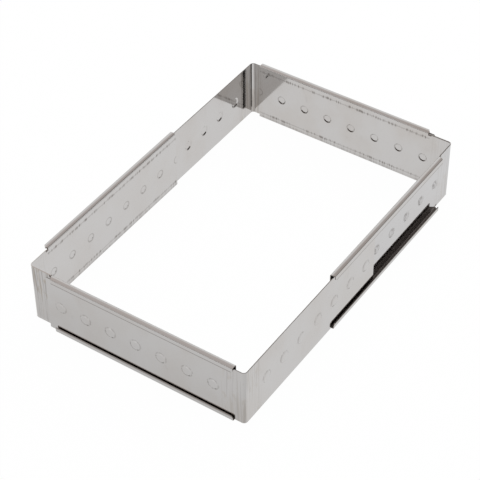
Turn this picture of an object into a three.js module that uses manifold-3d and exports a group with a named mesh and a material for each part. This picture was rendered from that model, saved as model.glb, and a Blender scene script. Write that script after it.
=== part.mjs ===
// Adjustable cake frame: four bent sheet-steel corners that slide into each other to set length and width.
// Two opposite corners are channels, with folded edges that hold the flat legs of the two plain corners.
// Millimetres, +Z up. The origin is the middle of the frame on the surface that it stands on.

import * as THREE from 'three';
import { mergeVertices } from 'three/addons/utils/BufferGeometryUtils.js';
import Module from 'manifold-3d';

// Driving dimensions of the frame
const lengthDrawn = 102; // how far the frame is drawn out along X from fully closed
const widthDrawn = 4; // the same along Y
const closedGap = 2; // free end of a channel to the web across from it, when closed
const frameHeight = 50; // channel corners, over both folds
const sheet = 0.6; // steel sheet
const cornerBend = 2.4; // inside radius of the upright corner bends

// Driving dimensions of the channel corners
const channelLeg = 169; // inside corner to free end
const foldBend = 0.5; // inside radius where the web folds over into a flange
const lipBend = 0.3; // inside radius where a flange folds over into its lip
const lipHeight = 4; // flange face to lip edge
const lipRound = 2; // round on each lip's corner at the free end
const foldStart = 20.5; // inside corner to the flanges
const foldSlant = 3.5; // how far a flange's end slants back between web and lip
const cornerStep = 0.6; // flange face to the web's edge beside the corner bend

// Driving dimensions of the plain corners
const plainShort = 7; // how much shorter the legs are than a channel's
const restGap = 0.3; // lower edge above the bottom flange
const headGap = 1; // upper edge below the top flange
const bumpGap = 0.8; // the channel's bump tips to a plain leg
const lipGap = 1.3; // leg to the channel's lips

// Driving dimensions of the pressed bumps, which stand out towards the outside of the frame
const bumpPitch = 21;
const bumpRadius = 4;
const bumpHeight = 0.7;
const channelBumpStart = 22.5; // inside corner to the first bump
const plainBumpStart = 24.5;
const bumpEndGap = 8; // least distance from the last bump to a leg's free end

// Smoothness of round shapes
const bendSteps = 6;
const bumpSides = 12;
const bumpRings = 3;

// Distance that a cutting shape runs past what it cuts
const cutOver = 1;

// Sizes and places that follow from the dimensions
const insideLength = channelLeg + closedGap + lengthDrawn; // between the channel webs
const insideWidth = channelLeg + closedGap + widthDrawn;
const plainLeg = channelLeg - plainShort;
const plainOffset = sheet + bumpHeight + bumpGap; // channel's inside face to plain leg's inside face
const channelDepth = plainOffset + sheet + lipGap + sheet; // channel's inside face to lip's outside face
const flangeFace = foldFace(plainOffset); // a flange's inner face, where a plain leg's edge faces it
const plainBottom = flangeFace + restGap;
const plainTop = frameHeight - flangeFace - headGap;
const bumpLevel = frameHeight / 2;

const wasm = await Module();
wasm.setup();

// Height of the bottom flange's upper face, at a distance outwards from the channel's inside face
function foldFace(outward) {
  const intoBend = Math.max(0, sheet + foldBend - outward);
  return sheet + foldBend - Math.sqrt(foldBend ** 2 - intoBend ** 2);
}

// Six times the volume that a triangle mesh encloses, negative where its faces point inwards
function signedVolume(points, triangles) {
  const corner = [new THREE.Vector3(), new THREE.Vector3(), new THREE.Vector3()];
  let sum = 0;
  for (let i = 0; i < triangles.length; i += 3) {
    corner.forEach((vector, k) => vector.fromArray(points, 3 * triangles[i + k]));
    sum += corner[0].dot(corner[1].cross(corner[2]));
  }
  return sum;
}

// A closed geometry as a solid. Flat triangles at a lathe's axis are dropped, and a shape that was
// mirrored gets its faces pointing out again.
function toSolid(geometry, place = new THREE.Matrix4()) {
  const bare = geometry.clone().applyMatrix4(place);
  bare.deleteAttribute('normal');
  bare.deleteAttribute('uv');
  const merged = mergeVertices(bare);
  const points = Float32Array.from(merged.attributes.position.array);
  const triangles = [];
  for (let i = 0; i < merged.index.count; i += 3) {
    const [a, b, c] = [0, 1, 2].map((k) => merged.index.getX(i + k));
    if (a !== b && b !== c && c !== a) {
      triangles.push(a, b, c);
    }
  }
  if (signedVolume(points, triangles) < 0) {
    triangles.reverse();
  }
  const mesh = new wasm.Mesh({ numProp: 3, vertProperties: points, triVerts: Uint32Array.from(triangles) });
  return new wasm.Manifold(mesh);
}

function toMesh(name, solid, material) {
  const { vertProperties, triVerts } = solid.getMesh();
  const geometry = new THREE.BufferGeometry();
  geometry.setAttribute('position', new THREE.BufferAttribute(vertProperties, 3));
  geometry.setIndex(new THREE.BufferAttribute(triVerts, 1));
  const mesh = new THREE.Mesh(geometry, material);
  mesh.name = name;
  return mesh;
}

function extrude(shape, depth) {
  return new THREE.ExtrudeGeometry(shape, { depth, bevelEnabled: false, curveSegments: bendSteps });
}

// A leg is drawn along +X from the inside corner, with its inside face on Y = 0 and the outside towards +Y.
// A corner's two legs leave it along +X and +Y, with the outside of both away from the frame's middle.
const legPlaces = [
  new THREE.Matrix4().makeScale(1, -1, 1),
  new THREE.Matrix4().makeRotationZ(Math.PI / 2),
];

// Turns a section drawn as (outward, up) so that its extrusion runs along the leg
const sectionToLeg = new THREE.Matrix4().makeBasis(
  new THREE.Vector3(0, 1, 0),
  new THREE.Vector3(0, 0, 1),
  new THREE.Vector3(1, 0, 0),
);

// Turns a side view drawn as (along, up) so that its extrusion runs inwards
const sideToLeg = new THREE.Matrix4().makeBasis(
  new THREE.Vector3(1, 0, 0),
  new THREE.Vector3(0, 0, 1),
  new THREE.Vector3(0, -1, 0),
);

// An upright plate bent round the corner, with legs of the given length
function bentPlate(leg, bottom, top) {
  const outer = cornerBend + sheet;
  const plan = new THREE.Shape();
  plan.moveTo(leg, 0);
  plan.lineTo(cornerBend, 0);
  plan.absarc(cornerBend, cornerBend, cornerBend, -Math.PI / 2, -Math.PI, true);
  plan.lineTo(0, leg);
  plan.lineTo(-sheet, leg);
  plan.lineTo(-sheet, cornerBend);
  plan.absarc(cornerBend, cornerBend, outer, Math.PI, 1.5 * Math.PI, false);
  plan.lineTo(leg, -sheet);
  plan.closePath();
  return toSolid(extrude(plan, top - bottom), new THREE.Matrix4().makeTranslation(0, 0, bottom));
}

// The channel's section: web, two flanges and two lips, drawn as (outward, up)
function channelSection() {
  const fold = foldBend + sheet;
  const turn = lipBend + sheet;
  const top = frameHeight;
  const right = channelDepth;
  const half = Math.PI / 2;
  const section = new THREE.Shape();
  section.moveTo(0, fold);
  section.absarc(fold, fold, fold, Math.PI, 3 * half, false);
  section.absarc(right - turn, turn, turn, -half, 0, false);
  section.lineTo(right, lipHeight);
  section.lineTo(right - sheet, lipHeight);
  section.absarc(right - turn, turn, lipBend, 0, -half, true);
  section.absarc(fold, fold, foldBend, -half, -Math.PI, true);
  section.absarc(fold, top - fold, foldBend, Math.PI, half, true);
  section.absarc(right - turn, top - turn, lipBend, half, 0, true);
  section.lineTo(right - sheet, top - lipHeight);
  section.lineTo(right, top - lipHeight);
  section.absarc(right - turn, top - turn, turn, 0, half, false);
  section.absarc(fold, top - fold, fold, half, Math.PI, false);
  section.closePath();
  return section;
}

// The wedge, drawn in plan, that slants the flange ends beside the corner
function slantCutter() {
  const reach = channelDepth + cutOver;
  const lean = foldSlant * (reach - sheet) / (channelDepth - sheet);
  const plan = new THREE.Shape();
  plan.moveTo(foldStart, sheet);
  plan.lineTo(foldStart + lean, reach);
  plan.lineTo(foldStart - cutOver, reach);
  plan.lineTo(foldStart - cutOver, sheet);
  plan.closePath();
  return extrude(plan, frameHeight + 2 * cutOver).translate(0, 0, -cutOver);
}

// The cutter that rounds a lip's corner at the free end, for the lower lip or, turned over, the upper one
function lipCutter(upper) {
  const side = new THREE.Shape();
  side.moveTo(channelLeg - lipRound, lipHeight);
  side.absarc(channelLeg - lipRound, lipHeight - lipRound, lipRound, Math.PI / 2, 0, true);
  side.lineTo(channelLeg + cutOver, lipHeight - lipRound);
  side.lineTo(channelLeg + cutOver, lipHeight + cutOver);
  side.lineTo(channelLeg - lipRound, lipHeight + cutOver);
  side.closePath();
  const cutter = extrude(side, sheet + lipBend + cutOver).applyMatrix4(sideToLeg);
  cutter.translate(0, channelDepth + cutOver, 0);
  return upper ? cutter.scale(1, 1, -1).translate(0, 0, frameHeight) : cutter;
}

// A round cap whose rim lies on Y = rim and whose tip stands outwards, on a short stem that runs inwards
function bumpCap(sphereRadius, centre, rim, stem) {
  const rimAngle = Math.acos((rim - centre) / sphereRadius);
  const profile = [];
  for (let ring = 0; ring <= bumpRings; ring += 1) {
    const angle = rimAngle * ring / bumpRings;
    const level = centre + sphereRadius * Math.cos(angle);
    profile.push(new THREE.Vector2(sphereRadius * Math.sin(angle), level));
  }
  profile.push(new THREE.Vector2(sphereRadius * Math.sin(rimAngle), rim - stem));
  profile.push(new THREE.Vector2(0, rim - stem));
  return new THREE.LatheGeometry(profile, bumpSides);
}

// Presses a row of bumps into both legs of a corner. The sheet keeps its thickness over each bump.
function pressBumps(corner, leg, start) {
  const dome = (bumpRadius ** 2 + bumpHeight ** 2) / (2 * bumpHeight);
  const centre = sheet + bumpHeight - dome;
  const outside = bumpCap(dome, centre, sheet, sheet / 2);
  const hollow = bumpCap(dome - sheet, centre, 0, cutOver);
  let pressed = corner;
  for (const place of legPlaces) {
    for (let along = start; along <= leg - bumpEndGap; along += bumpPitch) {
      const spot = new THREE.Matrix4().makeTranslation(along, 0, bumpLevel).premultiply(place);
      pressed = pressed.add(toSolid(outside, spot));
      pressed = pressed.subtract(toSolid(hollow, spot));
    }
  }
  return pressed;
}

// A channel corner, with its inside corner at X = Y = 0
function channelCorner() {
  let corner = bentPlate(foldStart, cornerStep, frameHeight - cornerStep);
  const fold = extrude(channelSection(), channelLeg - foldStart).applyMatrix4(sectionToLeg);
  fold.translate(foldStart, 0, 0);
  for (const place of legPlaces) {
    let leg = toSolid(fold, place);
    leg = leg.subtract(toSolid(slantCutter(), place));
    leg = leg.subtract(toSolid(lipCutter(false), place));
    leg = leg.subtract(toSolid(lipCutter(true), place));
    corner = corner.add(leg);
  }
  return pressBumps(corner, channelLeg, channelBumpStart);
}

// A plain corner, with its inside corner at X = Y = 0
function plainCorner() {
  const corner = bentPlate(plainLeg, plainBottom, plainTop);
  return pressBumps(corner, plainLeg, plainBumpStart);
}

// The four corners in their places: each is turned so that its legs run along the frame's sides
const steel = { color: 0xc6c6c4, roughness: 0.22, metalness: 1 };
const channelX = insideLength / 2;
const channelY = insideWidth / 2;
const plainX = channelX + plainOffset;
const plainY = channelY + plainOffset;
const quarterTurn = Math.PI / 2;
const corners = [
  { name: 'channel_corner_left', make: channelCorner, x: -channelX, y: channelY, turn: -quarterTurn },
  { name: 'channel_corner_right', make: channelCorner, x: channelX, y: -channelY, turn: quarterTurn },
  { name: 'plain_corner_front', make: plainCorner, x: -plainX, y: -plainY, turn: 0 },
  { name: 'plain_corner_back', make: plainCorner, x: plainX, y: plainY, turn: 2 * quarterTurn },
];

const cakeFrame = new THREE.Group();
for (const { name, make, x, y, turn } of corners) {
  const mesh = toMesh(name, make(), new THREE.MeshStandardMaterial(steel));
  mesh.position.set(x, y, 0);
  mesh.rotation.z = turn;
  cakeFrame.add(mesh);
}

export default cakeFrame;
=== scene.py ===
"""Looks of an adjustable cake frame: four bent stainless sheets that slide along one another.

Two sheets are channels with folded edges, and two are plain sheets that run inside the folds.
Each one is made as the workshop makes it: a flat blank is cut, its corners are rounded, its row
of bumps is pressed, and then it is folded and given its thickness.
"""

import logging
import math
from dataclasses import dataclass, field, replace
from enum import Enum
from functools import partial, reduce

import bmesh
import bpy
from mathutils import Matrix, Vector


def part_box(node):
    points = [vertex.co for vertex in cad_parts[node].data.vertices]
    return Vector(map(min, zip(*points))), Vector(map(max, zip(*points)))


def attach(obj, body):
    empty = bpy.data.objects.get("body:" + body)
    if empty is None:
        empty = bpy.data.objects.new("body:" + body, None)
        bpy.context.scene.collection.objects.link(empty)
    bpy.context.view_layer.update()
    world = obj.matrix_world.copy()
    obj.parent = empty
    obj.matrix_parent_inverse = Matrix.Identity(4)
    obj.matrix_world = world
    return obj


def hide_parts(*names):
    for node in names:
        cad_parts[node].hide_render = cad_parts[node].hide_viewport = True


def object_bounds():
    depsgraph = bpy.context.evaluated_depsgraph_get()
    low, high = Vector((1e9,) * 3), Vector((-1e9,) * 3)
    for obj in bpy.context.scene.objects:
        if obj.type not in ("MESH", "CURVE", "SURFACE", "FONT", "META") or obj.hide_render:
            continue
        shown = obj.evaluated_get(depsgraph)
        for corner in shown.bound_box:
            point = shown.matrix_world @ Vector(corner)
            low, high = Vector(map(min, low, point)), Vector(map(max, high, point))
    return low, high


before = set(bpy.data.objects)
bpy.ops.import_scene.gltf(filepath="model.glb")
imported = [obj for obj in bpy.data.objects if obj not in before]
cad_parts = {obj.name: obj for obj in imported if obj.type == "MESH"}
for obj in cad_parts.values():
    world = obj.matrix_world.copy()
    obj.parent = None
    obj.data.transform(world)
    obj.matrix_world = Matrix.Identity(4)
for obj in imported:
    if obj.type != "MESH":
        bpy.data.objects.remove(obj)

LOG = logging.getLogger("cake_frame")
CAD_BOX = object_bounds()
MM = 0.001
# Distances in millimetres that count as none: between compared points, and beside a scored line.
NEAR = 1e-3
SNAP = 1e-4
BLANK_MAP = "blank"
SENSOR_WIDTH = 36.0

Colour = tuple[float, float, float]
Point = tuple[float, float, float]
Socket = bpy.types.NodeSocket
Group = bpy.types.ShaderNodeTree
Blank = bmesh.types.BMesh

# How far each effect darkens the steel and how far it dulls it, where it is strongest; the band
# along the folded edges is painted shade.
DARKENS = {
    "bend_lines": 0.5, "smudges": 0.2, "bump_rub": 0.5, "die_marks": 0.85, "edge_band": 1.0}
DULLS = {"smudges": 0.03, "scratches": 0.08, "rolled_grain": 0.02, "edge_band": 0.35}
HAZE_TINT: Colour = (0.92, 0.885, 0.85)
STREAK_TINT: Colour = (0.86, 0.815, 0.75)
# Dark colour that the marks and the painted shade mix towards.
MARK_AND_SHADE_TINT: Colour = (0.30, 0.27, 0.25)
DENT_STRENGTH = 0.6
DENT_DEPTH = 0.00004


class Axis(Enum):
    """The two directions of a flat blank."""

    ALONG = (1.0, 0.0, 0.0)
    ACROSS = (0.0, 1.0, 0.0)


class Skin(Enum):
    """The two faces of a sheet and its cut edges, which are also its material slots."""

    INSIDE = 0
    OUTSIDE = 1
    EDGE = 2


class Place(Enum):
    """Where a corner of the frame stands: the signs of its X and Y, and its turn in degrees."""

    FRONT = (-1, -1, 0)
    RIGHT = (1, -1, 90)
    BACK = (1, 1, 180)
    LEFT = (-1, 1, -90)


def put(name: str, data: bpy.types.ID) -> bpy.types.Object:
    """Adds an object with a mesh, lamp or camera to the scene.

    Args:
        name: The object's name.
        data: What it shows.

    Returns:
        The object.
    """
    made = bpy.data.objects.new(name, data)
    bpy.context.scene.collection.objects.link(made)
    return made


def shaped(name: str, bm: Blank) -> bpy.types.Mesh:
    """Turns a finished shape into a mesh, and frees the shape.

    Args:
        name: The mesh's name.
        bm: The shape.

    Returns:
        The mesh.
    """
    made = bpy.data.meshes.new(name)
    bm.to_mesh(made)
    bm.free()
    return made


def direction(azimuth: float, elevation: float) -> Vector:
    """Points from the object to a place in the room.

    Args:
        azimuth: Degrees from +X towards +Y.
        elevation: Degrees above the floor.

    Returns:
        The direction, of length 1.
    """
    around, up = math.radians(azimuth), math.radians(elevation)
    flat = math.cos(up)
    return Vector((flat * math.cos(around), flat * math.sin(around), math.sin(up)))


@dataclass(frozen=True)
class Stretch:
    """One stretch of a folded line, straight or round.

    Attributes:
        length: Its length along the line, in millimetres.
        turn: How far the line turns to its right over the stretch, in radians.
    """

    length: float
    turn: float = 0.0


@dataclass(frozen=True)
class FoldPath:
    """A line in a plane made of straight and round stretches.

    Attributes:
        start: Where it starts, in millimetres.
        heading: Its direction there, in radians from the plane's first axis.
        stretches: Its stretches in order.
    """

    start: tuple[float, float]
    heading: float
    stretches: tuple[Stretch, ...]

    def at(self, distance: float) -> tuple[Vector, Vector]:
        """Follows the line from its start.

        Args:
            distance: How far to go, in millimetres.

        Returns:
            The point there, and the direction to the left of the line.
        """
        point = Vector(self.start)
        heading = self.heading
        left = distance
        for stretch in self.stretches:
            run = min(left, stretch.length)
            turn = stretch.turn * run / stretch.length
            chord = 2.0 * run / turn * math.sin(turn / 2.0) if turn else run
            middle = heading - turn / 2.0
            point += chord * Vector((math.cos(middle), math.sin(middle)))
            heading -= turn
            left -= run
            if left <= 0.0:
                break
        return point, Vector((-math.sin(heading), math.cos(heading)))

    def marks(self, steps: int) -> list[float]:
        """Lists the distances where the blank needs a crease line to follow the path.

        Args:
            steps: The number of steps in a round stretch.

        Returns:
            The distances from the start, without the end of the last stretch.
        """
        found: list[float] = []
        reached = 0.0
        for stretch in self.stretches:
            if stretch.turn:
                found += [reached + stretch.length * i / steps for i in range(steps + 1)]
            reached += stretch.length
        return [d for d in found if d < reached - NEAR]


@dataclass(frozen=True)
class BumpRow:
    """The row of flat-topped bumps that a punch presses into a leg, towards the outside.

    Attributes:
        first: Distance of the first bump from the corner.
        steep: Slope of a bump's side, in degrees.
        radius: Radius where the bump leaves the flat sheet.
        top: Radius of its flat top.
        pitch: Distance from bump to bump.
        count: Number of bumps on a leg.
        foot: Radius of the curve at its foot, on the inside face.
        shoulder: Radius of the curve round its top, on the inside face.
        segments: Number of sides of its rings.
        steps: Steps in each of these curves.
        margin: Width of the flat ring around it.
        cell: Reach of its cell of the blank to either side.
    """

    first: float
    steep: float
    radius: float
    top: float
    pitch: float = 21.0
    count: int = 7
    foot: float = 0.8
    shoulder: float = 0.35
    segments: int = 40
    steps: int = 4
    margin: float = 0.5
    cell: float = 8.4

    def places(self) -> list[float]:
        """Lists the distances of the bumps from the corner."""
        return [self.first + self.pitch * i for i in range(self.count)]

    def rings(self) -> list[tuple[float, float]]:
        """Works out a bump's rings: a round foot, a straight side, a shoulder and a flat top.

        Returns:
            The radius and the height of each ring, from the flat sheet to the top.
        """
        slope = math.radians(self.steep)
        found = [(self.radius + self.margin, 0.0), (self.radius, 0.0)]
        turns = [slope * step / self.steps for step in range(self.steps + 1)]
        for turn in turns[1:]:
            found.append((self.radius - self.foot * math.sin(turn),
                          self.foot * (1.0 - math.cos(turn))))
        wide, low = found[-1]
        narrow = self.top + self.shoulder * math.sin(slope)
        rise = (wide - narrow) * math.tan(slope)
        found.append(((wide + narrow) / 2.0, low + rise / 2.0))
        top = low + rise + self.shoulder * (1.0 - math.cos(slope))
        for turn in reversed(turns):
            found.append((self.top + self.shoulder * math.sin(turn),
                          top - self.shoulder * (1.0 - math.cos(turn))))
        found.append((self.top / 2.0, top))
        return found


class Bench:
    """Places and links the nodes of one shader tree."""

    def __init__(self, tree: bpy.types.NodeTree) -> None:
        """Keeps the tree that the nodes go into."""
        self.tree = tree

    def node(
        self, kind: str, inputs: dict[int | str, object] | None = None, **settings: object
    ) -> bpy.types.Node:
        """Adds a node.

        Args:
            kind: Its type, without the leading ShaderNode.
            inputs: The sockets or plain values that its inputs take, by name or number.
            **settings: Values for its properties.

        Returns:
            The new node.
        """
        made = self.tree.nodes.new("ShaderNode" + kind)
        for name, value in settings.items():
            setattr(made, name, value)
        for key, source in (inputs or {}).items():
            self.feed(made.inputs[key], source)
        return made

    def feed(self, socket: Socket, source: object) -> None:
        """Links a socket to another, or sets its value.

        Args:
            socket: The input socket.
            source: An output socket, or a plain value.
        """
        if isinstance(source, Socket):
            self.tree.links.new(source, socket)
        else:
            socket.default_value = source

    def math(self, operation: str, *values: object) -> Socket:
        """Adds a Math node whose inputs are sockets or numbers."""
        return self.node("Math", dict(enumerate(values)), operation=operation).outputs[0]

    def times(self, *values: object) -> Socket:
        """Multiplies two or more sockets or numbers."""
        return reduce(lambda first, second: self.math("MULTIPLY", first, second), values)

    def total(self, shares: list[tuple[Socket, float]], start: float = 0.0) -> Socket:
        """Adds up sockets.

        Args:
            shares: Each socket, and the number that it is multiplied by.
            start: What they are added to.

        Returns:
            The sum.
        """
        found: object = start
        for value, share in shares:
            found = self.math("MULTIPLY_ADD", value, share, found)
        return found

    def gap(self, first: object, second: object) -> Socket:
        """Gives the distance between two values."""
        return self.math("ABSOLUTE", self.math("SUBTRACT", first, second))

    def parts(self, vector: Socket) -> tuple[Socket, ...]:
        """Splits a vector into its X, Y and Z."""
        return tuple(self.node("SeparateXYZ", {0: vector}).outputs)

    def remap(
        self, value: object, low: object, high: object, to_low: float = 0.0, to_high: float = 1.0
    ) -> Socket:
        """Adds a smooth, clamped Map Range node.

        Args:
            value: The value to map.
            low: The value that gives to_low.
            high: The value that gives to_high.
            to_low: The result at and beyond low.
            to_high: The result at and beyond high.

        Returns:
            Its output.
        """
        ends = dict(enumerate((value, low, high, to_low, to_high)))
        return self.node("MapRange", ends, interpolation_type="SMOOTHSTEP").outputs["Result"]

    def fade(self, value: object, low: object, high: object) -> Socket:
        """Steps smoothly down from 1 to 0 between two values."""
        return self.remap(value, low, high, 1.0, 0.0)

    def mix(self, factor: object, first: object, second: object) -> Socket:
        """Mixes two colours by the share of the second one."""
        return self.node("Mix", {0: factor, 6: first, 7: second}, data_type="RGBA").outputs[2]

    def noise(
        self, vector: object, repeats: tuple[float, float], detail: float = 2.0, turn: float = 0.0
    ) -> Socket:
        """Adds a Noise texture behind a Mapping node.

        Args:
            vector: The coordinates.
            repeats: How often the noise repeats in a metre, along the blank and across it.
            detail: Its detail.
            turn: The turn of the pattern about the sheet's normal, in degrees.

        Returns:
            The noise, about 0.5 on average.
        """
        place = self.node("Mapping", {
            "Vector": vector, "Rotation": (0.0, 0.0, math.radians(turn)), "Scale": (*repeats, 1.0)})
        made = self.node("TexNoise", {
            "Vector": place.outputs["Vector"], "Scale": 1.0, "Detail": detail})
        return made.outputs["Fac"]

    def patches(
        self, vector: object, repeats: tuple[float, float], shown: tuple[float, float],
        detail: float = 2.0, turn: float = 0.0
    ) -> Socket:
        """Adds a mask of patches cut out of a noise.

        Args:
            vector: The coordinates.
            repeats: How often the noise repeats in a metre, along the blank and across it.
            shown: The noise where a patch starts, and where it is full.
            detail: The noise's detail.
            turn: The turn of the pattern, in degrees.

        Returns:
            The mask.
        """
        return self.remap(self.noise(vector, repeats, detail, turn), *shown)


class Effects:
    """The surface effects that the finishes share, each a node group built once.

    They read the coordinates of the flat blank, in metres, and give values that change over it.
    """

    @staticmethod
    def start(name: str, **numbers: float) -> tuple[Bench, dict[str, Socket]]:
        """Starts a node group.

        Args:
            name: The group's name.
            **numbers: Its number inputs and their usual values.

        Returns:
            A bench for the group, and the group's inputs by name.
        """
        tree = bpy.data.node_groups.new(name, "ShaderNodeTree")
        tree.interface.new_socket("blank", in_out="INPUT", socket_type="NodeSocketVector")
        for label, value in numbers.items():
            made = tree.interface.new_socket(label, in_out="INPUT", socket_type="NodeSocketFloat")
            made.default_value = value
        entry = tree.nodes.new("NodeGroupInput")
        return Bench(tree), {s.name: s for s in entry.outputs if s.name}

    @staticmethod
    def close(bench: Bench, **results: Socket) -> Group:
        """Gives a node group its outputs.

        Args:
            bench: The group's bench.
            **results: The outputs by name.

        Returns:
            The finished group.
        """
        for label in results:
            bench.tree.interface.new_socket(label, in_out="OUTPUT", socket_type="NodeSocketFloat")
        leave = bench.tree.nodes.new("NodeGroupOutput")
        for label, source in results.items():
            bench.feed(leave.inputs[label], source)
        return bench.tree

    @classmethod
    def build(cls) -> dict[str, Group]:
        """Builds every effect, by name."""
        return {make.__name__: make() for make in (
            cls.rolled_grain, cls.scratches, cls.smudges, cls.die_marks, cls.bend_lines,
            cls.edge_band, cls.bump_rub)}

    @classmethod
    def rolled_grain(cls) -> Group:
        """Builds the fine lines that rolling leaves along a sheet, and its slow waves.

        Returns:
            The group, with a grain height and a wave height.
        """
        bench, given = cls.start("rolled_grain")
        return cls.close(
            bench, grain=bench.noise(given["blank"], (120.0, 4200.0), detail=4.0),
            wave=bench.noise(given["blank"], (16.0, 34.0), detail=1.0))

    @classmethod
    def scratches(cls) -> Group:
        """Builds short fine scratches in two directions.

        Returns:
            The group, with a mask of the scratches.
        """
        bench, given = cls.start("scratches", amount=0.5)
        lines = [bench.patches(given["blank"], repeats, (0.66, 0.74), detail=1.0, turn=turn)
                 for turn, repeats in ((24.0, (60.0, 2600.0)), (-38.0, (80.0, 3100.0)))]
        return cls.close(bench, mask=bench.times(bench.math("MAXIMUM", *lines), given["amount"]))

    @classmethod
    def smudges(cls) -> Group:
        """Builds the cloudy marks that handling and wiping leave.

        Returns:
            The group, with a broad haze and a mask of smaller stains.
        """
        bench, given = cls.start("smudges", amount=0.5)
        haze = bench.patches(given["blank"], (28.0, 22.0), (0.38, 0.68), detail=3.0, turn=12.0)
        small = bench.patches(given["blank"], (150.0, 95.0), (0.60, 0.76), detail=5.0, turn=-20.0)
        return cls.close(bench, haze=bench.times(haze, given["amount"]),
                         stain=bench.times(small, haze, given["amount"]))

    @classmethod
    def die_marks(cls) -> Group:
        """Builds the thin lines and upright ticks that the folding tool prints beside the folds.

        Returns:
            The group, with a mask of the marks beside each fold and of a worn line below.
        """
        bench, given = cls.start(
            "die_marks", line=0.0200, lower=0.0231, start=0.0175, width=0.0019, thin=0.4,
            scored=0.4, worn=0.15, worn_ticks=0.35, wander=0.0012, amount=1.0)
        blank, width = given["blank"], given["width"]
        x, y, _ = bench.parts(blank)
        drift = bench.math("SUBTRACT", bench.noise(blank, (210.0, 9.0)), 0.5)
        line = bench.math("MULTIPLY_ADD", drift, given["wander"], given["line"])
        off = bench.gap(bench.math("ABSOLUTE", y), line)
        scored = bench.fade(off, 0.0, bench.times(width, given["thin"]))
        ticks = bench.patches(blank, (900.0, 70.0), (0.48, 0.60))
        runs = bench.patches(blank, (60.0, 20.0), (0.30, 0.52))
        pressed = bench.math("MAXIMUM", bench.times(bench.fade(off, 0.0, width), ticks, runs),
                             bench.times(scored, given["scored"]))
        low = bench.fade(bench.gap(bench.times(y, -1.0), given["lower"]), 0.0, width)
        worn = bench.math("MULTIPLY_ADD", ticks, given["worn_ticks"], given["worn"])
        pressed = bench.math("MULTIPLY_ADD", low, worn, pressed)
        reached = bench.math("GREATER_THAN", bench.math("ABSOLUTE", x), given["start"])
        return cls.close(bench, mask=bench.times(pressed, reached, given["amount"]))

    @classmethod
    def bend_lines(cls) -> Group:
        """Builds the upright lines and streaks that bending the corner leaves on both sides of it,
        and painted shade on the flanks of the bend either side of its highlight.

        Returns:
            The group, with a mask of the lines and the painted flank shade, and a mask of the
            streaked strip around them.
        """
        bench, given = cls.start(
            "bend_lines", first=0.005, spacing=0.005, last=0.018, width=0.0004, beyond=1.15,
            scrapes=0.75, flank=0.0, amount=1.0)
        blank, first, last, width = (given[k] for k in ("blank", "first", "last", "width"))
        away = bench.math("ABSOLUTE", bench.parts(blank)[0])
        near = bench.math("PINGPONG", bench.math("SUBTRACT", away, first),
                          bench.times(given["spacing"], 0.5))
        shown = bench.times(
            bench.fade(near, 0.0, width),
            bench.math("GREATER_THAN", away, bench.math("SUBTRACT", first, width)),
            bench.math("LESS_THAN", away, bench.math("ADD", last, width)),
            bench.patches(blank, (300.0, 30.0), (0.35, 0.6)))
        fade = bench.fade(away, last, bench.times(last, given["beyond"]))
        scrapes = bench.times(
            bench.patches(blank, (640.0, 24.0), (0.53, 0.61)), fade, given["scrapes"])
        struck = bench.times(bench.math("MAXIMUM", shown, scrapes), given["amount"])
        # Painted shade on the flanks of the bend, darkening either side of its highlight.
        rise, fall = (0.0003, 0.0008), (0.0016, 0.0022)
        flank = bench.times(bench.remap(away, *rise), bench.fade(away, *fall))
        streaks = bench.patches(blank, (330.0, 26.0), (0.54, 0.64), detail=3.0)
        blots = bench.patches(blank, (190.0, 110.0), (0.56, 0.66), detail=4.0)
        return cls.close(
            bench, lines=bench.math("MULTIPLY_ADD", flank, given["flank"], struck),
            strip=bench.times(fade, bench.math("MAXIMUM", streaks, blots), given["amount"]))

    @classmethod
    def edge_band(cls) -> Group:
        """Builds painted shade along the folded edges of a sheet, and the burrs beside its corner.

        Returns:
            The group, with a mask of the band, of the edge of the bare wall on one leg and of
            the notch where the fold starts.
        """
        bench, given = cls.start(
            "edge_band", start=0.0300, full=0.0310, amount=1.0, tab=0.0234, reach=0.018,
            brim=0.0003, burr=0.0, inset=0.0005, mouth=0.0014, depth=0.0008, notch=0.0)
        tab, reach = given["tab"], given["reach"]
        x, y, _ = bench.parts(given["blank"])
        across, away = bench.math("ABSOLUTE", y), bench.math("ABSOLUTE", x)
        # Painted shade: the band darkens the folded edges where the trough, the lips' edges and the
        # free ends lie in shade.
        band = bench.times(
            bench.remap(across, given["start"], given["full"]),
            bench.math("GREATER_THAN", away, reach), given["amount"])
        half = bench.times(reach, 0.5)
        burr = bench.times(
            bench.remap(across, tab, bench.math("ADD", tab, given["brim"])),
            bench.math("COMPARE", bench.math("ADD", x, half), 0.0, half), given["burr"])
        mouth = bench.math(
            "COMPARE", away, bench.math("SUBTRACT", reach, given["inset"]), given["mouth"])
        deep = bench.math("GREATER_THAN", across, bench.math("SUBTRACT", tab, given["depth"]))
        marks = bench.math("MAXIMUM", burr, bench.times(deep, mouth, given["notch"]))
        return cls.close(bench, mask=bench.math("MAXIMUM", band, marks))

    @classmethod
    def bump_rub(cls) -> Group:
        """Builds the broken grey ring round the foot of each bump: partly rubbing that the punch
        and sliding leave, partly painted shade for the outline that the bump's rounded rim shows.

        Returns:
            The group, with a mask of the rings.
        """
        bench, given = cls.start(
            "bump_rub", first=0.0220, pitch=0.0210, ring=0.0038, width=0.0012, torn=0.36,
            worn=0.22, amount=1.0)
        x, y, _ = bench.parts(given["blank"])
        away = bench.math("SUBTRACT", bench.math("ABSOLUTE", x), given["first"])
        half = bench.times(given["pitch"], 0.5)
        along = bench.math("PINGPONG", away, half)
        far = bench.math("SQRT", bench.math("MULTIPLY_ADD", y, y, bench.times(along, along)))
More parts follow.
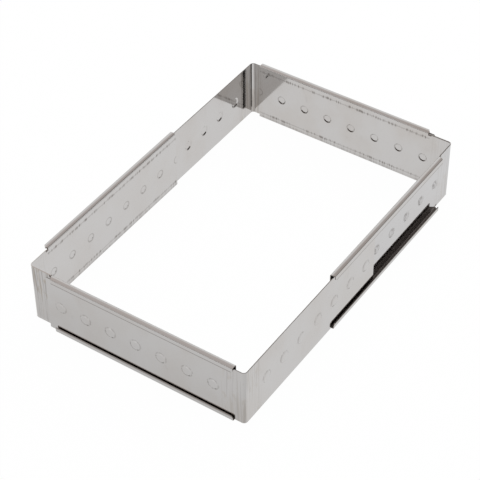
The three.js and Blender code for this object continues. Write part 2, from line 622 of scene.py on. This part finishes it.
        # Partly painted shade: the ring stands in for the dark outline of each bump's rim.
        ring = bench.fade(bench.gap(far, given["ring"]), 0.0, given["width"])
        row = bench.math("GREATER_THAN", away, bench.times(half, -1.0))
        rough = bench.noise(given["blank"], (620.0, 300.0), detail=3.0, turn=-35.0)
        broken = bench.remap(
            rough, given["torn"], bench.math("ADD", given["torn"], given["worn"]))
        return cls.close(bench, mask=bench.times(ring, row, broken, given["amount"]))


@dataclass(frozen=True)
class SteelFinish:
    """A bright rolled stainless finish with the marks of one face of one kind of sheet.

    Attributes:
        name: The material's name.
        colour: The steel's own colour.
        roughness: Its roughness where it is clean.
        wave: How far the sheet is from flat, as a bump distance in metres.
        scratches: Strength of the scratches.
        scuffs: How far the scratches darken the steel.
        smudges: Strength of the haze and stains.
        die_line: Distance of the folding tool's marks from mid height, in millimetres.
        die_marks: Strength of the folding tool's marks.
        bend_lines: Strength of the marks beside the corner bend.
        bend_strip: Width of the streaked strip beside that bend, in millimetres.
        bend_flank_shade: Strength of the painted shade on the flanks of the bend itself, beside its
            highlight, which also dents them slightly.
        bump_rub: Strength of the rings round the bumps, rubbing and painted shade.
        bump_first: Distance of the first bump along the blank, in millimetres.
        bump_ring: Radius of the rubbed rings, in millimetres.
        bump_width: Width of the rubbed rings to either side, in millimetres.
        bump_torn: How broken the rubbed rings are, from 0 to 1.
        tab_burr: Strength of a dark line along the edges of the bare wall beside the corner.
        tab_reach: Distance along the blank to the start of the folds, in millimetres.
        notch: Strength of the dark notch where the folds start.
        edge_band: Strength of a band of painted shade along the long edges.
        band_start: Distance from mid height where that band starts, in millimetres.
        band_full: Distance from mid height where it is at its full strength.
    """

    name: str
    colour: Colour = (0.548, 0.536, 0.529)
    roughness: float = 0.055
    wave: float = 0.00003
    scratches: float = 0.35
    scuffs: float = 0.0
    smudges: float = 0.5
    die_line: float = 20.1
    die_marks: float = 0.0
    bend_lines: float = 0.6
    bend_strip: float = 16.0
    bend_flank_shade: float = 0.0
    bump_rub: float = 0.25
    bump_first: float = 24.0
    bump_ring: float = 3.9
    bump_width: float = 1.2
    bump_torn: float = 0.36
    tab_burr: float = 0.0
    tab_reach: float = 0.0
    notch: float = 0.0
    edge_band: float = 0.0
    band_start: float = 30.0
    band_full: float = 31.0

    def effect(
        self, bench: Bench, effects: dict[str, Group], blank: Socket, name: str, **values: float
    ) -> bpy.types.NodeOutputs:
        """Places one shared effect in this finish.

        Args:
            bench: The material's bench.
            effects: The shared effects by name.
            blank: The coordinates of the flat blank.
            name: The effect's name.
            **values: The effect's numbers for this finish.

        Returns:
            The effect's outputs.
        """
        made = bench.node("Group", node_tree=effects[name])
        for label, source in {"blank": blank, **values}.items():
            bench.feed(made.inputs[label], source)
        return made.outputs

    def tinted(self, tint: Colour = (1.0, 1.0, 1.0)) -> tuple[float, ...]:
        """Gives the steel's colour under a tint, with its alpha."""
        return (*(own * share for own, share in zip(self.colour, tint)), 1.0)

    def material(self, effects: dict[str, Group]) -> bpy.types.Material:
        """Builds the material.

        Args:
            effects: The shared effects by name.

        Returns:
            The material.
        """
        made = bpy.data.materials.new(self.name)
        made.use_nodes = True
        bench = Bench(made.node_tree)
        shader = made.node_tree.nodes["Principled BSDF"].inputs
        blank = bench.node("UVMap", uv_map=BLANK_MAP).outputs["UV"]
        place = partial(self.effect, bench, effects, blank)
        rolled = place("rolled_grain")
        scratched = place("scratches", amount=self.scratches)
        smudged = place("smudges", amount=self.smudges)
        bent = place("bend_lines", last=self.bend_strip * MM, flank=self.bend_flank_shade,
                     amount=self.bend_lines)
        rubbed_and_shaded = place("bump_rub", first=self.bump_first * MM, ring=self.bump_ring * MM,
                       width=self.bump_width * MM, torn=self.bump_torn, amount=self.bump_rub)
        dents = bent["lines"]
        dark = [(bent["lines"], DARKENS["bend_lines"]), (smudged["stain"], DARKENS["smudges"]),
                (rubbed_and_shaded["mask"], DARKENS["bump_rub"]), (scratched["mask"], self.scuffs)]
        dull = [(smudged["haze"], DULLS["smudges"]), (scratched["mask"], DULLS["scratches"]),
                (rolled["grain"], DULLS["rolled_grain"])]
        if self.die_marks:
            printed = place("die_marks", line=self.die_line * MM, amount=self.die_marks)
            dark.append((printed["mask"], DARKENS["die_marks"]))
            dents = bench.math("MAXIMUM", dents, printed["mask"])
        if self.edge_band or self.notch:
            banded = place(
                "edge_band", start=self.band_start * MM, full=self.band_full * MM,
                amount=self.edge_band, burr=self.tab_burr, reach=self.tab_reach * MM,
                notch=self.notch)
            # The band mixes in painted shade.
            dark.append((banded["mask"], DARKENS["edge_band"]))
            dull.append((banded["mask"], DULLS["edge_band"]))
        hazy = bench.mix(smudged["haze"], self.tinted(), self.tinted(HAZE_TINT))
        streaked = bench.mix(bent["strip"], hazy, self.tinted(STREAK_TINT))
        marked = bench.mix(
            bench.math("MINIMUM", bench.total(dark), 1.0), streaked, self.tinted(MARK_AND_SHADE_TINT))
        slow = bench.node("Bump", {
            "Strength": 1.0, "Distance": self.wave, "Height": rolled["wave"]})
        fine = bench.node("Bump", {
            "Strength": DENT_STRENGTH, "Distance": DENT_DEPTH, "Height": dents,
            "Normal": slow.outputs["Normal"]}, invert=True)
        bench.feed(shader["Metallic"], 1.0)
        bench.feed(shader["Base Color"], marked)
        bench.feed(shader["Roughness"], bench.total(dull, self.roughness))
        bench.feed(shader["Normal"], fine.outputs["Normal"])
        return made


@dataclass
class PlainCorner:
    """A plain sheet bent once, whose two legs slide in the folds of two channels.

    Sizes are in millimetres. The blank is flat in X and Y, with its inside face up and its
    middle, at half the frame's height on the corner bend, at the origin.

    Attributes:
        name: The piece's name.
        node: The CAD node that it stands for.
        body: The CAD body that it moves with.
        slot: Name of a material slot; not used.
        place: The corner of the frame where it stands.
        depth: Distance from its inside face to its outermost point.
        bumps: The row of bumps on each leg.
        sheet: Thickness of the sheet.
        corner_bend: Inside radius of the corner bend.
        corner_steps: Steps in half of the corner bend.
        end_round: Radius of the corners at the free ends.
        end_steps: Steps in each of these corners.
        edge: Width of the broken edges.
        edge_steps: Steps across a broken edge.
        edge_angle: The least angle of an edge that is broken, in degrees.
        play: How far it lies off its place in the loose folds, along X and Y.
        inside: Distances of its inside corner from the frame's middle, along X and Y.
        leg: Length of a leg from the inside corner.
        low: Height of its lower edge.
        high: Height of its upper edge.
        frame_height: Height of the frame.
    """

    name: str
    node: str
    body: str
    place: Place
    slot: str = "plain_steel"
    depth: float = 1.3
    bumps: BumpRow = BumpRow(first=24.5, steep=28.0, radius=4.4, top=2.9)
    sheet: float = 0.6
    corner_bend: float = 2.4
    corner_steps: int = 8
    end_round: float = 0.8
    end_steps: int = 6
    edge: float = 0.08
    edge_steps: int = 2
    edge_angle: float = 50.0
    play: tuple[float, float] = (0.0, 0.0)
    inside: tuple[float, float] = field(init=False)
    leg: float = field(init=False)
    low: float = field(init=False)
    high: float = field(init=False)
    frame_height: float = field(init=False)

    def __post_init__(self) -> None:
        """Reads the piece's place and reach from the frame."""
        low, high = (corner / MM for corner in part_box(self.node))
        self.inside = tuple(max(abs(low[i]), abs(high[i])) - self.depth for i in (0, 1))
        self.leg = high.x - low.x - self.depth
        self.low, self.high = low.z, high.z
        self.frame_height = CAD_BOX[1].z / MM

    @property
    def half_bend(self) -> float:
        """Length of half of the corner bend along the inside face."""
        return self.corner_bend * math.pi / 4.0

    @property
    def half_length(self) -> float:
        """Half of the blank's length."""
        return self.along(self.leg)

    def along(self, distance: float) -> float:
        """Turns a distance from the inside corner into one along the blank."""
        return distance - self.corner_bend + self.half_bend

    def plan(self) -> FoldPath:
        """Describes the sheet from above, from the middle of its bend to a free end.

        Returns:
            The path of its inside face, whose left side is the outside of the frame.
        """
        start = self.corner_bend * (1.0 - math.sqrt(0.5))
        return FoldPath((start, start), math.radians(135.0), (
            Stretch(self.half_bend, math.radians(45.0)),
            Stretch(self.leg - self.corner_bend),
        ))

    def section(self) -> FoldPath:
        """Describes the sheet from its end, from mid height up.

        Returns:
            The path of its inside face, in distance to the outside and height above mid height.
        """
        return FoldPath((0.0, 0.0), math.radians(90.0), (Stretch(self.frame_height),))

    def edges_across(self) -> tuple[float, float]:
        """Gives the lower and the upper edge of the blank."""
        middle = self.frame_height / 2.0
        return self.low - middle, self.high - middle

    def cut(self, bm: Blank, axis: Axis, at: float, beyond: float = 0.0) -> None:
        """Scores a straight line on both halves of the blank.

        Args:
            bm: The blank.
            axis: The direction that the line is square to.
            at: Where the line is on either half, along that direction.
            beyond: Distance from mid height that the faces it crosses lie beyond.
        """
        normal = Vector(axis.value)
        for side in (-1.0, 1.0):
            faces = [f for f in bm.faces if abs(f.calc_center_median().y) >= beyond]
            edges = {e for f in faces for e in f.edges}
            verts = {v for f in faces for v in f.verts}
            bmesh.ops.bisect_plane(
                bm, geom=[*verts, *edges, *faces], dist=SNAP, plane_co=normal * at * side,
                plane_no=normal)

    def score_folds(self, bm: Blank) -> None:
        """Scores the folds that run along the sheet, which a plain sheet has none of."""

    def blank(self) -> Blank:
        """Cuts the flat blank and scores its bend and the cells of its bumps.

        Returns:
            The blank, in millimetres.
        """
        bm = bmesh.new()
        low, high = self.edges_across()
        bmesh.ops.create_grid(bm, x_segments=1, y_segments=1, size=0.5)
        bmesh.ops.scale(bm, vec=(2.0 * self.half_length, high - low, 1.0), verts=bm.verts)
        bmesh.ops.translate(bm, vec=(0.0, (high + low) / 2.0, 0.0), verts=bm.verts)
        reach = self.bumps.cell
        marks = self.plan().marks(self.corner_steps)
        for centre in self.bumps.places():
            marks += [self.along(centre - reach), self.along(centre + reach)]
        for mark in marks:
            self.cut(bm, Axis.ALONG, mark)
        self.score_folds(bm)
        return bm

    def press(self, bm: Blank) -> None:
        """Presses the bumps into the cells of the blank.

        Args:
            bm: The blank.
        """
        rings = self.bumps.rings()
        discs = []
        for centre in self.bumps.places():
            for side in (-1.0, 1.0):
                spot = Vector((side * self.along(centre), 0.0, 0.0))
                flat = [f for f in bm.faces if f not in discs]
                cell = min(flat, key=lambda f: (f.calc_center_median() - spot).length)
                rim = list(cell.edges)
                bmesh.ops.delete(bm, geom=[cell], context="FACES_ONLY")
                made = bmesh.ops.create_circle(
                    bm, cap_ends=True, segments=self.bumps.segments, radius=rings[0][0],
                    matrix=Matrix.Translation(spot))
                disc = made["verts"][0].link_faces[0]
                bmesh.ops.bridge_loops(bm, edges=rim + list(disc.edges))
                discs.append(disc)
        bmesh.ops.recalc_face_normals(bm, faces=bm.faces)
        if discs[0].normal.z < 0.0:
            bmesh.ops.reverse_faces(bm, faces=bm.faces)
        side_share = math.cos(math.pi / self.bumps.segments)
        for disc in discs:
            for (wide, low), (narrow, high) in zip(rings, rings[1:]):
                bmesh.ops.inset_individual(
                    bm, faces=[disc], thickness=(wide - narrow) * side_share, depth=low - high,
                    use_even_offset=True)

    def free_corners(self, bm: Blank) -> list[bmesh.types.BMVert]:
        """Finds the corners at the free ends of the blank.

        Args:
            bm: The blank.

        Returns:
            Its four outermost points.
        """
        low, high = self.edges_across()
        return [v for v in bm.verts if abs(abs(v.co.x) - self.half_length) < NEAR
                and min(abs(v.co.y - low), abs(v.co.y - high)) < NEAR]

    def fold(self, bm: Blank) -> None:
        """Folds the blank into its corner and stands it on the ground plane.

        Args:
            bm: The blank, flat, in millimetres.
        """
        plan = self.plan()
        section = self.section()
        for vert in bm.verts:
            along, across, proud = vert.co
            (out, rise), _ = section.at(abs(across))
            height = self.frame_height / 2.0 + math.copysign(rise, across)
            point, outward = plan.at(abs(along))
            spot = point + outward * (out - proud)
            spot = spot if along > 0.0 else spot.yx
            vert.co = (spot.x, spot.y, height)

    def stand(self, bm: Blank) -> None:
        """Moves the folded sheet to its corner of the frame, in metres.

        Args:
            bm: The folded sheet, with its inside corner at the origin.
        """
        side_x, side_y, turn = self.place.value
        middle = (
            side_x * self.inside[0] + self.play[0], side_y * self.inside[1] + self.play[1], 0.0)
        bmesh.ops.rotate(
            bm, matrix=Matrix.Rotation(math.radians(turn), 3, "Z"), cent=(0, 0, 0), verts=bm.verts)
        bmesh.ops.translate(bm, vec=middle, verts=bm.verts)
        bmesh.ops.scale(bm, vec=(MM, MM, MM), verts=bm.verts)

    def build(self) -> bpy.types.Object:
        """Makes the piece from its blank.

        Returns:
            The new object, at the origin with its place in its mesh.
        """
        bm = self.blank()
        self.press(bm)
        bmesh.ops.bevel(
            bm, geom=self.free_corners(bm), offset=self.end_round, offset_type="OFFSET",
            segments=self.end_steps, profile=0.5, affect="VERTICES", material=-1)
        layer = bm.loops.layers.uv.new(BLANK_MAP)
        for face in bm.faces:
            face.smooth = True
            for loop in face.loops:
                loop[layer].uv = loop.vert.co.xy * MM
        self.fold(bm)
        self.stand(bm)
        made = put(self.name, shaped(self.name, bm))
        wall = made.modifiers.new("sheet", "SOLIDIFY")
        wall.thickness = self.sheet * MM
        wall.offset = -1.0
        wall.use_even_offset = True
        wall.material_offset = Skin.OUTSIDE.value
        wall.material_offset_rim = Skin.EDGE.value
        edge = made.modifiers.new("broken_edge", "BEVEL")
        edge.width = self.edge * MM
        edge.segments = self.edge_steps
        edge.limit_method = "ANGLE"
        edge.angle_limit = math.radians(self.edge_angle)
        level = made.modifiers.new("level_faces", "WEIGHTED_NORMAL")
        level.keep_sharp = True
        return made

    def dress(self, piece: bpy.types.Object, skins: dict[Skin, bpy.types.Material]) -> None:
        """Gives the piece its skins and ties it to the frame.

        Args:
            piece: The built piece.
            skins: The material of each face of the sheet and of its edges.
        """
        for skin in Skin:
            piece.data.materials.append(skins[skin])
        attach(piece, self.body)
        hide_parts(self.node)


@dataclass
class ChannelCorner(PlainCorner):
    """A sheet bent once whose long edges are folded outwards into lips that hold a plain sheet.

    Attributes:
        lip: Height of a lip.
        fold_bend: Outer radius of the fold beside the wall.
        lip_bend: Outer radius of the fold beside the lip.
        crown: How far the flange between them falls off to either side of its middle, in degrees.
        fold_steps: Steps in each of these folds.
        fold_start: Distance of the folds from the inside corner.
        fold_slant: How much further along the lips start.
        corner_step: How far the bare wall at the corner is below the folds.
        relief: Width of the slot beside the start of a fold.
    """

    slot: str = "channel_steel"
    depth: float = 4.6
    bumps: BumpRow = BumpRow(first=22.5, steep=36.0, radius=3.8, top=2.55)
    end_round: float = 2.0
    lip: float = 4.0
    fold_bend: float = 1.0
    lip_bend: float = 0.8
    crown: float = 10.0
    fold_steps: int = 8
    fold_start: float = 18.5
    fold_slant: float = 2.5
    corner_step: float = 0.6
    relief: float = 0.9

    @property
    def wall_half(self) -> float:
        """Half of the height of the flat wall between its folds."""
        return self.section().stretches[0].length

    def section(self) -> FoldPath:
        """Describes the channel from its end, from mid height up.

        Returns:
            The path of its inside face over the fold and down the lip.
        """
        right = math.radians(90.0)
        crown = math.radians(self.crown)
        turn = right - crown
        reach = self.depth - (self.fold_bend + self.lip_bend) * (1.0 - math.sin(crown))
        arch = reach / (2.0 * math.sin(crown))
        sag = arch * (1.0 - math.cos(crown))
        wall = self.frame_height / 2.0 - sag - self.fold_bend * math.cos(crown)
        lip = self.lip - sag - self.lip_bend * math.cos(crown)
        return FoldPath((0.0, 0.0), right, (
            Stretch(wall),
            Stretch(self.fold_bend * turn, turn),
            Stretch(2.0 * arch * crown, 2.0 * crown),
            Stretch(self.lip_bend * turn, turn),
            Stretch(lip),
        ))

    def edges_across(self) -> tuple[float, float]:
        """Gives the lower and the upper edge of the blank, which are the edges of the lips."""
        half = sum(s.length for s in self.section().stretches)
        return -half, half

    def score_folds(self, bm: Blank) -> None:
        """Scores the folds and cuts the blank away around the corner.

        Args:
            bm: The blank.
        """
        tab = self.frame_height / 2.0 - self.corner_step
        for mark in [tab, *self.section().marks(self.fold_steps)]:
            self.cut(bm, Axis.ACROSS, mark)
        start = self.along(self.fold_start)
        for mark in (start, start - self.relief):
            self.cut(bm, Axis.ALONG, mark, self.wall_half)
        waste = []
        for face in bm.faces:
            spot = face.calc_center_median()
            in_slot = abs(spot.y) > self.wall_half and start - self.relief < abs(spot.x) < start
            over_tab = abs(spot.y) > tab and abs(spot.x) < start
            if in_slot or over_tab:
                waste.append(face)
        bmesh.ops.delete(bm, geom=waste, context="FACES")
        section = self.section()
        for vert in bm.verts:
            if abs(abs(vert.co.x) - start) > NEAR or abs(vert.co.y) < self.wall_half + NEAR:
                continue
            out = section.at(abs(vert.co.y))[0].x
            share = max(0.0, out - self.sheet) / (self.depth - self.sheet)
            vert.co.x += math.copysign(self.fold_slant * share, vert.co.x)

    def fold(self, bm: Blank) -> None:
        """Folds the blank, whose tabs beside the corner stay flat.

        Args:
            bm: The blank, flat, in millimetres.
        """
        start = self.along(self.fold_start) - self.relief / 2.0
        tabs = {v: v.co.y for v in bm.verts
                if abs(v.co.x) < start and abs(v.co.y) > self.wall_half + NEAR}
        super().fold(bm)
        for vert, across in tabs.items():
            vert.co.z = self.frame_height / 2.0 + across


@dataclass(frozen=True)
class Softbox:
    """A square studio lamp with a cloth front.

    Attributes:
        name: The lamp's name.
        azimuth: Its direction from the object, in degrees from +X towards +Y.
        elevation: Its height above the floor, in degrees.
        distance: Its distance, in metres.
        size: The side of its front, in metres.
        glow: The brightness of its front, where 1 is white.
        colour: Its colour.
    """

    name: str
    azimuth: float
    elevation: float
    distance: float
    size: float
    glow: float
    colour: Colour = (1.0, 1.0, 1.0)

    def build(self) -> None:
        """Sets up the lamp, turned to the object."""
        lamp = bpy.data.lights.new(self.name, "AREA")
        lamp.shape = "SQUARE"
        lamp.size = self.size
        lamp.energy = self.glow * math.pi * self.size ** 2
        lamp.color = self.colour
        made = put(self.name, lamp)
        away = direction(self.azimuth, self.elevation)
        made.location = away * self.distance
        made.rotation_euler = away.to_track_quat("Z", "Y").to_euler()
        made.visible_glossy = False


@dataclass(frozen=True)
class DarkSide:
    """An unlit part of the room, as metal mirrors it.

    Attributes:
        azimuth: Direction of its middle from the object, in degrees from +X towards +Y.
        elevation: Height of its middle above the floor, in degrees.
        full: How far it is at its full dark from its middle, in degrees.
        end: How far it reaches, in degrees.
        colour: Its colour.
    """

    azimuth: float
    elevation: float
    full: float
    end: float
    colour: Colour = (0.09, 0.07, 0.06)

    def over(self, bench: Bench, way: Socket, behind: Socket) -> Socket:
        """Lays it over the rest of the room.

        Args:
            bench: The world's bench.
            way: The direction that is looked in.
            behind: The colour of the room without it.

        Returns:
            The colour of the room with it.
        """
        middle = direction(self.azimuth, self.elevation)
        facing = bench.node("VectorMath", {0: way, 1: middle}, operation="DOT_PRODUCT")
        unlit = bench.remap(
            facing.outputs["Value"], math.cos(math.radians(self.end)),
            math.cos(math.radians(self.full)))
        return bench.mix(unlit, behind, (*self.colour, 1.0))


@dataclass
class Studio:
    """The pale floor, the light and the camera.

    Attributes:
        floor_size: The side of the floor, in metres.
        floor_colour: The floor's own colour.
        floor_roughness: The floor's roughness.
        white_seen: Share of plain white in the floor as the camera sees it.
        white_mirrored: Share of its glow in the floor as metal mirrors it.
        floor_glow_painted_shadow: Glow of the mirrored floor by its place along X, in metres, with
            a painted shadow just in front of the front wall.
        floor_right_painted_shade: Share of that glow beyond the right side, a painted shade, and
            where it starts, along Y.
        ambient: Brightness of the room as light.
        sweep: Brightness of the pale backdrop that metal mirrors.
        sweep_top: Heights, as sines, over which the backdrop gives way to the room.
        room: Colour of the room above it.
        ceiling: Colour of the room overhead.
        ceiling_from: Heights, as sines, over which the ceiling begins.
        dark_sides: The unlit parts of the room.
        lamps: The softboxes.
        eye: The camera's place, in metres.
        axes: The camera's right, up and back directions.
        lens: Its focal length, in millimetres.
        clip: The nearest and the furthest distance that it sees, in metres.
    """

    floor_size: float = 8.0
    floor_colour: Colour = (0.90, 0.90, 0.90)
    floor_roughness: float = 0.9
    white_seen: float = 0.98
    white_mirrored: float = 0.92
    # Painted shadow: the mirrored floor darkens just in front of the front wall.
    floor_glow_painted_shadow: tuple[tuple[float, float], ...] = (
        (-0.240, 0.92), (-0.170, 0.88), (-0.1395, 0.82), (-0.1370, 1.0), (0.0, 1.0))
    floor_right_painted_shade: tuple[float, float] = (0.955, -0.0890)
    ambient: float = 0.70
    sweep: float = 1.0
    sweep_top: tuple[float, float] = (0.60, 0.68)
    room: Colour = (0.74, 0.69, 0.67)
    ceiling: Colour = (0.62, 0.57, 0.55)
    ceiling_from: tuple[float, float] = (0.75, 0.93)
    dark_sides: tuple[DarkSide, ...] = (
        DarkSide(2.0, 52.0, full=8.0, end=26.0, colour=(0.56, 0.52, 0.50)),
        DarkSide(-28.3, 43.7, full=9.0, end=17.0),
        *(DarkSide(azimuth, elevation, full=8.0, end=12.0) for azimuth, elevation in (
            (140.0, 15.0), (155.5, 21.5), (172.5, 22.0), (188.5, 17.0), (201.0, 7.0))),
    )
    lamps: tuple[Softbox, ...] = (
        Softbox("key_softbox", 5.0, 40.0, distance=1.5, size=0.9, glow=2.4),
        Softbox("top_softbox", 100.0, 82.0, distance=1.6, size=1.0, glow=1.6),
    )
    eye: Point = (-0.74413, -0.50172, 0.83438)
    axes: tuple[Point, Point, Point] = (
        (0.55967, -0.82868, -0.00725),
        (0.56274, 0.37361, 0.73739),
        (-0.60835, -0.41677, 0.67543),
    )
    lens: float = 126.419
    clip: tuple[float, float] = (0.01, 50.0)

    def paper(self) -> bpy.types.Material:
        """Builds the floor's paper, white to the camera and glowing to mirrors, with soft shadows
        and a painted shadow and shade in its mirrored glow.

        Returns:
            The material.
        """
        made = bpy.data.materials.new("floor_paper")
        made.use_nodes = True
        bench = Bench(made.node_tree)
        shader = made.node_tree.nodes["Principled BSDF"]
        bench.feed(shader.inputs["Base Color"], (*self.floor_colour, 1.0))
        bench.feed(shader.inputs["Roughness"], self.floor_roughness)
        bench.feed(shader.inputs["Specular IOR Level"], 0.0)
        x, y, _ = bench.parts(bench.node("TexCoord").outputs["Object"])
        # Painted shadow: the mirrored floor is dimmer just in front of the front wall, and painted
        # shade dims it beyond the right side.
        first = self.floor_glow_painted_shadow[0][0]
        length = self.floor_glow_painted_shadow[-1][0] - first
        glow = bench.node("ValToRGB", {
            "Fac": bench.math("DIVIDE", bench.math("SUBTRACT", x, first), length)})
        ramp = glow.color_ramp.elements
        while len(ramp) < len(self.floor_glow_painted_shadow):
            ramp.new(0.5)
        for step, (place, level) in zip(ramp, self.floor_glow_painted_shadow):
            step.position = (place - first) / length
            step.color = (level, level, level, 1.0)
        dimmed, edge = self.floor_right_painted_shade
        right = bench.math("LESS_THAN", y, edge)
        level = bench.times(glow.outputs["Color"], bench.remap(right, 0.0, 1.0, 1.0, dimmed))
        ray = bench.node("LightPath").outputs
        seen = ray["Is Camera Ray"]
        mirrored = bench.math("MAXIMUM", ray["Is Glossy Ray"], ray["Is Transmission Ray"])
        share = bench.math("MAXIMUM", bench.times(seen, self.white_seen),
                           bench.times(mirrored, self.white_mirrored))
        white = bench.node("Emission", {"Strength": bench.math("MAXIMUM", seen, level)})
        both = bench.node("MixShader", {0: share, 1: shader.outputs[0], 2: white.outputs[0]})
        bench.feed(made.node_tree.nodes["Material Output"].inputs["Surface"], both.outputs[0])
        return made

    def floor(self) -> None:
        """Lays the floor."""
        bm = bmesh.new()
        bmesh.ops.create_grid(bm, x_segments=8, y_segments=8, size=self.floor_size / 2.0)
        made = put("studio_floor", shaped("studio_floor", bm))
        made.data.materials.append(self.paper())

    def world(self) -> None:
        """Surrounds the object with a pale backdrop and a room, which the camera sees as white."""
        made = bpy.data.worlds.new("pale_room")
        made.use_nodes = True
        bench = Bench(made.node_tree)
        way = bench.node("TexCoord").outputs["Generated"]
        height = bench.parts(way)[2]
        above = bench.mix(
            bench.remap(height, *self.ceiling_from), (*self.room, 1.0), (*self.ceiling, 1.0))
        pale = (self.sweep, self.sweep, self.sweep, 1.0)
        mirrored = bench.mix(bench.remap(height, *self.sweep_top), pale, above)
        for side in self.dark_sides:
            mirrored = side.over(bench, way, mirrored)
        ray = bench.node("LightPath").outputs
        plain = (self.ambient, self.ambient, self.ambient, 1.0)
        lit = bench.mix(ray["Is Glossy Ray"], plain, mirrored)
        straight = bench.math("MAXIMUM", ray["Is Camera Ray"], ray["Is Transmission Ray"])
        back = made.node_tree.nodes["Background"]
        bench.feed(back.inputs["Color"], bench.mix(straight, lit, (1.0, 1.0, 1.0, 1.0)))
        bpy.context.scene.world = made

    def camera(self) -> None:
        """Sets the scene's camera at the photograph's viewing angle."""
        lens = bpy.data.cameras.new("camera")
        lens.sensor_width = SENSOR_WIDTH
        lens.lens = self.lens
        lens.clip_start, lens.clip_end = self.clip
        made = put("camera", lens)
        turn = Matrix(self.axes).transposed().to_4x4()
        made.matrix_world = Matrix.Translation(self.eye) @ turn
        bpy.context.scene.camera = made

    def build(self) -> None:
        """Sets up the floor, the room, the lamps, the camera and the plain view transform."""
        self.floor()
        self.world()
        for lamp in self.lamps:
            lamp.build()
        self.camera()
        bpy.context.scene.view_settings.view_transform = "Standard"


def main() -> None:
    """Builds the studio and the four sheets, and reports each piece."""
    logging.basicConfig(level=logging.INFO, format="%(name)s: %(message)s")
    Studio().build()
    effects = Effects.build()
    left = ChannelCorner(
        "left_channel_sheet", "channel_corner_left", "left_channel", Place.LEFT,
        bumps=BumpRow(first=22.5, steep=43.0, radius=3.2, top=2.3))
    right = ChannelCorner(
        "right_channel_sheet", "channel_corner_right", "right_channel", Place.RIGHT)
    front = PlainCorner(
        "front_plain_sheet", "plain_corner_front", "front_plain", Place.FRONT, play=(-0.4, -0.2))
    back = PlainCorner("back_plain_sheet", "plain_corner_back", "back_plain", Place.BACK)
    lip_edge = left.edges_across()[1]
    reach = left.along(left.fold_start)
    cut = SteelFinish(
        "cut_edge_steel", colour=(0.24, 0.225, 0.215), roughness=0.30, smudges=0.9)
    # The band over the last millimetre of the free ends is painted shadow: the dark slot between a
    # channel's end and the plain sheet.
    lip_cut = SteelFinish(
        "lip_edge_steel", colour=(0.60, 0.57, 0.545), roughness=0.20, bend_lines=0.0,
        edge_band=0.85, band_start=lip_edge + 2.0, band_full=lip_edge + 1.0,
        tab_reach=left.half_length - 1.0)
    # The band just inside the lips' edges is painted shade: the dark line where the gap under each
    # lip lies in shade.
    printed = SteelFinish(
        "left_inside_steel", die_marks=1.0, smudges=0.35, bend_lines=0.15, bump_rub=0.9,
        bump_first=22.0, bump_ring=3.2, bump_width=0.7, bump_torn=0.15, edge_band=0.6,
        band_start=lip_edge - 0.9, band_full=lip_edge - 0.4, tab_reach=reach, notch=1.0)
    # Outside finish of the channels: real scratches and smudges, and painted shade that darkens
    # everything beyond the wall, inside the trough of the folds.
    stained_and_shaded = SteelFinish(
        "left_outside_steel", scratches=1.0, scuffs=0.15, smudges=0.3, bend_lines=1.0,
        bend_strip=19.0, bump_rub=1.0, bump_first=22.0, bump_ring=2.4, bump_width=2.8,
        edge_band=0.85, band_start=left.wall_half - 0.5, band_full=left.wall_half + 0.5,
        tab_reach=reach, notch=1.0)
    right_printed = replace(printed, name="right_inside_steel", smudges=0.65, tab_burr=0.9)
    # The right wall's colour is a little bluer: a painted tint for the light that it mirrors.
    right_stained_and_shaded = replace(
        stained_and_shaded, name="right_outside_steel", colour=(0.550, 0.544, 0.545), smudges=0.15,
        bend_lines=0.35)
    # The plain sheets' inside bend carries painted shade on its flanks.
    plain_inside = SteelFinish("plain_inside_steel", bend_flank_shade=0.7)
    plain_outside = SteelFinish(
        "plain_outside_steel", bend_lines=0.4, bump_rub=0.8, bump_ring=4.2, bump_width=1.1)
    steels = {finish: finish.material(effects) for finish in (
        cut, lip_cut, printed, stained_and_shaded, right_printed, right_stained_and_shaded, plain_inside,
        plain_outside)}
    plain = (plain_inside, plain_outside, cut)
    for sheet, finishes in (
            (left, (printed, stained_and_shaded, lip_cut)), (right, (right_printed, right_stained_and_shaded, lip_cut)),
            (front, plain), (back, plain)):
        piece = sheet.build()
        sheet.dress(piece, {skin: steels[worn] for skin, worn in zip(Skin, finishes)})
        LOG.info("%s: %d faces before its thickness", piece.name, len(piece.data.polygons))


if __name__ == "__main__":
    main()
